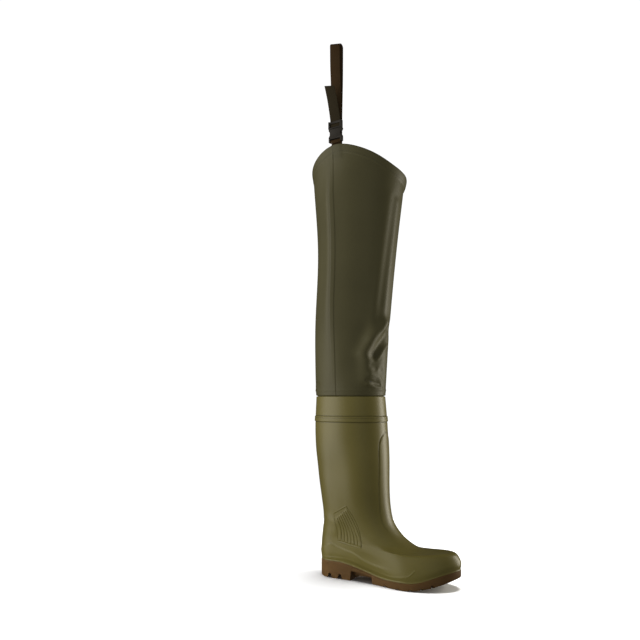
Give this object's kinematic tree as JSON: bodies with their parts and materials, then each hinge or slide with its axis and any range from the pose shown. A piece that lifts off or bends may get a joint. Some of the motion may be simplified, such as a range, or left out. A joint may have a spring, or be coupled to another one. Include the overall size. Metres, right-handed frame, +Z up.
{
  "type": "thigh wader boot",
  "caption": "Thigh-high wader: moulded safety boot with a lugged outsole, a coated cloth leg tucked into its cuff, and a webbing belt loop closed by a side-release buckle.",
  "frame": {"origin": "on the floor, under the middle of the bounding box", "axes": "+X towards the toe, +Y towards the inner side of the foot, +Z up along the leg"},
  "size_m": [0.3242, 0.2032, 1.1424],
  "materials": {
    "olive_polyurethane": "satin",
    "brown_outsole": "matte",
    "insole_foam": "matte",
    "coated_cloth": "satin",
    "webbing": "matte",
    "black_plastic": "satin"
  },
  "bodies": {
    "root": {"boot_upper": "olive_polyurethane", "outsole": "brown_outsole", "insole": "insole_foam", "wader_leg": "coated_cloth", "webbing_tab": "webbing", "webbing_strap": "webbing", "buckle_socket": "black_plastic", "buckle_plug": "black_plastic"}
  },
  "joints": []
}
